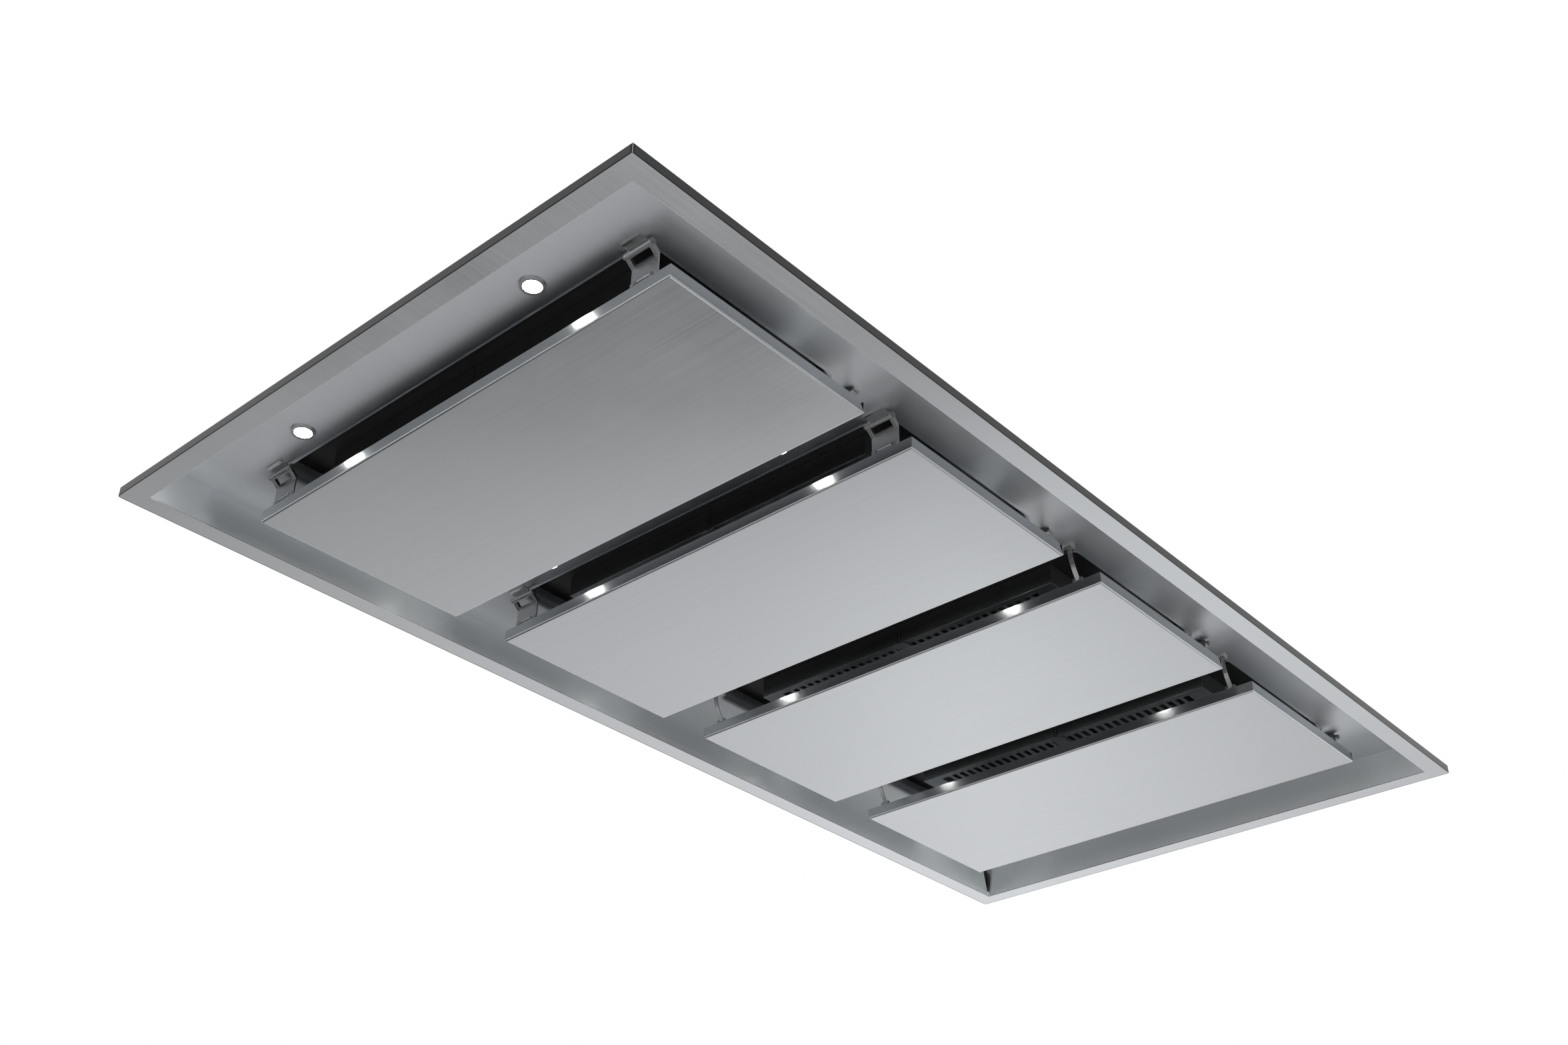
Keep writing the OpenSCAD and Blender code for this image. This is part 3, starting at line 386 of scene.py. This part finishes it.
def seen_directly(tree):
    """1 for rays that come from the camera, or through glossy and clear surfaces."""
    ray = add(tree, "ShaderNodeLightPath")
    total = ray.outputs["Is Camera Ray"]
    for kind in ("Is Glossy Ray", "Is Transmission Ray"):
        made = add(tree, "ShaderNodeMath", {"operation": "MAXIMUM"})
        join(tree, total, made.inputs[0])
        join(tree, ray.outputs[kind], made.inputs[1])
        total = made.outputs["Value"]
    return total


def make_world():
    world = bpy.data.worlds.new("studio")
    world.use_nodes = True
    tree = world.node_tree
    tree.nodes.clear()
    sky = add(tree, "ShaderNodeBackground", Color=(1, 1, 1, 1))
    dim_as_light(tree, sky)
    out = add(tree, "ShaderNodeOutputWorld")
    join(tree, sky.outputs["Background"], out.inputs["Surface"])
    bpy.context.scene.world = world


def stage_piece(name, shape):
    """The shape as a stage piece, which is no part of the hood."""
    mesh = bpy.data.meshes.new(name)
    shape.to_mesh(mesh)
    shape.free()
    piece = bpy.data.objects.new(name, mesh)
    bpy.context.scene.collection.objects.link(piece)
    return piece


def plane(name, half_x, half_y, z, hole=None):
    """Flat stage piece about the hood's middle, with an optional rectangular hole."""
    shape = bmesh.new()
    outer = [shape.verts.new((sx * half_x, sy * half_y, z)) for sx, sy in CORNERS]
    if hole is None:
        shape.faces.new(outer)
    else:
        inner = [shape.verts.new((sx * hole[0], sy * hole[1], z)) for sx, sy in CORNERS]
        for k in range(4):
            n = (k + 1) % 4
            shape.faces.new((outer[k], outer[n], inner[n], inner[k]))
    return stage_piece(name, shape)


def dim_as_light(tree, lamp):
    """Full strength where the lamp is seen or mirrored, less where it only lights the rest."""
    strength = span(tree, seen_directly(tree), DIFFUSE_SKY, 1.0, 0.0, 1.0)
    join(tree, strength, lamp.inputs["Strength"])


def one_sided(tree, front, back):
    """Shows one surface on the front of the faces and another behind them."""
    side = add(tree, "ShaderNodeNewGeometry")
    mix = add(tree, "ShaderNodeMixShader")
    join(tree, side.outputs["Backfacing"], mix.inputs["Fac"])
    join(tree, front, mix.inputs[1])
    join(tree, back, mix.inputs[2])
    join(tree, mix.outputs["Shader"], only(tree, "OUTPUT_MATERIAL").inputs["Surface"])


def glowing(name):
    """A material that holds only its output and an emission."""
    mat, tree, shader = blank(name)
    tree.nodes.remove(shader)
    glow = add(tree, "ShaderNodeEmission", Color=(1, 1, 1, 1), Strength=1.0)
    join(tree, glow.outputs["Emission"], only(tree, "OUTPUT_MATERIAL").inputs["Surface"])
    return mat, tree, glow


def make_floor():
    """Plain pale floor: white where it is seen, and dimmer as a light."""
    floor = plane("floor", FLOOR_HALF, FLOOR_HALF, FLOOR_Z)
    mat, tree, glow = glowing("floor")
    dim_as_light(tree, glow)
    floor.data.materials.append(mat)


def graduated(tree, value, low, high, steps):
    """Grey that follows a value through the given steps."""
    ramp = add(tree, "ShaderNodeValToRGB")
    stops = ramp.color_ramp.elements
    while len(stops) < len(steps):
        stops.new(0.5)
    for stop, (at, strength) in zip(stops, steps):
        stop.position = (at - low) / (high - low)
        stop.color = grey(strength)
    join(tree, span(tree, value, 0.0, 1.0, low, high), ramp.inputs["Fac"])
    return ramp.outputs["Color"]


def make_card():
    """Graduated card on the floor, which the steel reflects and the camera doesn't see."""
    card = plane("card", CARD_HALF, CARD_HALF, CARD_Z)
    card.visible_camera = False
    mat, tree, glow = glowing("card")
    where = coordinates(tree)
    reach = []
    for axis, middle in (("X", CARD_MIDDLE[0]), ("Y", CARD_MIDDLE[1])):
        moved = add(tree, "ShaderNodeMath", {"operation": "SUBTRACT"})
        join(tree, where[axis], moved.inputs[0])
        moved.inputs[1].default_value = middle
        reach.append(moved.outputs["Value"])
    turn = add(tree, "ShaderNodeMath", {"operation": "ARCTAN2"})
    join(tree, reach[1], turn.inputs[0])
    join(tree, reach[0], turn.inputs[1])
    degrees = add(tree, "ShaderNodeMath", {"operation": "DEGREES"})
    join(tree, turn.outputs["Value"], degrees.inputs[0])
    flat = add(tree, "ShaderNodeCombineXYZ")
    join(tree, reach[0], flat.inputs["X"])
    join(tree, reach[1], flat.inputs["Y"])
    distance = add(tree, "ShaderNodeVectorMath", {"operation": "LENGTH"})
    join(tree, flat.outputs["Vector"], distance.inputs[0])
    by_distance = graduated(tree, distance.outputs["Value"], CARD_NEAR, CARD_FAR, CARD_BY_DISTANCE)
    by_turn = graduated(tree, degrees.outputs["Value"], -CARD_TURN_MAX, CARD_TURN_MAX, CARD_BY_TURN)
    both = add(tree, "ShaderNodeVectorMath", {"operation": "MULTIPLY"})
    join(tree, by_distance, both.inputs[0])
    join(tree, by_turn, both.inputs[1])
    join(tree, both.outputs["Vector"], glow.inputs["Color"])
    card.data.materials.append(mat)


def make_cut_edge():
    """Edge of the cut-out in the ceiling board, seen only from the hood through the open seams, where
    it lies in shade; its near-black grey is painted shade that makes it darker still.
    """
    shape = bmesh.new()
    rings = []
    for z in (0.0, CUT_EDGE_TOP):
        rings.append([shape.verts.new((sx * CUT_HALF_X, sy * CUT_HALF_Y, z)) for sx, sy in CORNERS])
    for k in range(4):
        n = (k + 1) % 4
        shape.faces.new((rings[0][n], rings[0][k], rings[1][k], rings[1][n]))
    piece = stage_piece("cut_edge", shape)
    mat, tree, shader = blank("cut_edge")
    shader.inputs["Base Color"].default_value = grey(CUT_SHADE_GREY)
    shader.inputs["Roughness"].default_value = CUT_ROUGH
    clear = add(tree, "ShaderNodeBsdfTransparent")
    one_sided(tree, shader.outputs["BSDF"], clear.outputs["BSDF"])
    piece.data.materials.append(mat)


def make_ceiling():
    """White ceiling round the flange, seen from below only: it hides the casing above it."""
    hole = (FLANGE_HALF_X, FLANGE_HALF_Y)
    half = (FLANGE_HALF_X + CEILING_MARGIN, FLANGE_HALF_Y + CEILING_MARGIN)
    ceiling = plane("ceiling", half[0], half[1], 0.0, hole)
    mat, tree, glow = glowing("ceiling")
    dim_as_light(tree, glow)
    clear = add(tree, "ShaderNodeBsdfTransparent")
    one_sided(tree, clear.outputs["BSDF"], glow.outputs["Emission"])
    ceiling.data.materials.append(mat)


make_camera()
make_world()
make_floor()
make_card()
make_ceiling()
make_cut_edge()
dress_nodes()

bpy.context.scene.view_settings.view_transform = "Standard"
